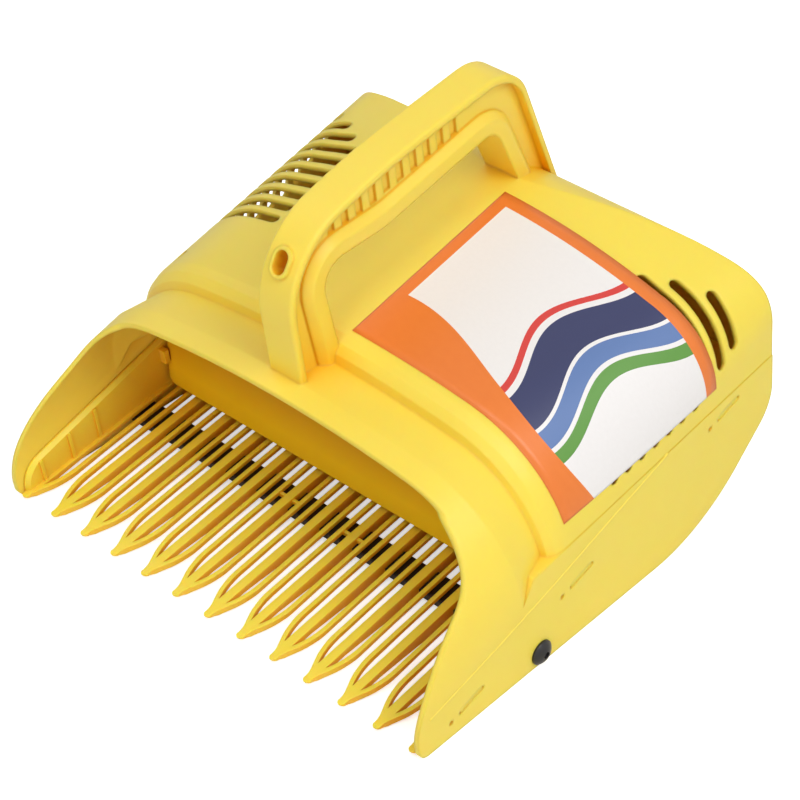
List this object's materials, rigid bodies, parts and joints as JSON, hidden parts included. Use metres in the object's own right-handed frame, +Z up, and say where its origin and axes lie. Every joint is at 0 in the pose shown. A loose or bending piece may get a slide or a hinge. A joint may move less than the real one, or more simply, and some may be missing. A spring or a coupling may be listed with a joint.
{
  "type": "berry picking rake",
  "caption": "Hand-held berry rake: arched plastic scoop with a comb of slotted teeth, an inward swinging flap behind the comb and a carrying handle on top",
  "frame": {"origin": "centre of the bounding box in plan, on the plane it stands on", "axes": "+X across the comb to the side with the label, +Y from the tooth tips to the back, +Z up"},
  "size_m": [0.2254, 0.2096, 0.1721],
  "materials": {
    "yellow_plastic": "satin moulded polypropylene",
    "black_steel": "black, slightly glossy",
    "label_paper": "printed paper with a thin gloss"
  },
  "bodies": {
    "body": {"shell": "yellow_plastic", "comb_tray": "yellow_plastic", "cross_bar": "black_steel", "bar_screws": "black_steel", "flap_pin": "black_steel", "label": "label_paper"},
    "flap": {"flap": "yellow_plastic"}
  },
  "joints": [
    {"name": "flap_hinge", "type": "hinge", "parent": "body", "child": "flap", "pos_m": [0, -0.02064, 0.08275], "axis": [1, 0, 0], "range_deg": [0, 70]}
  ]
}
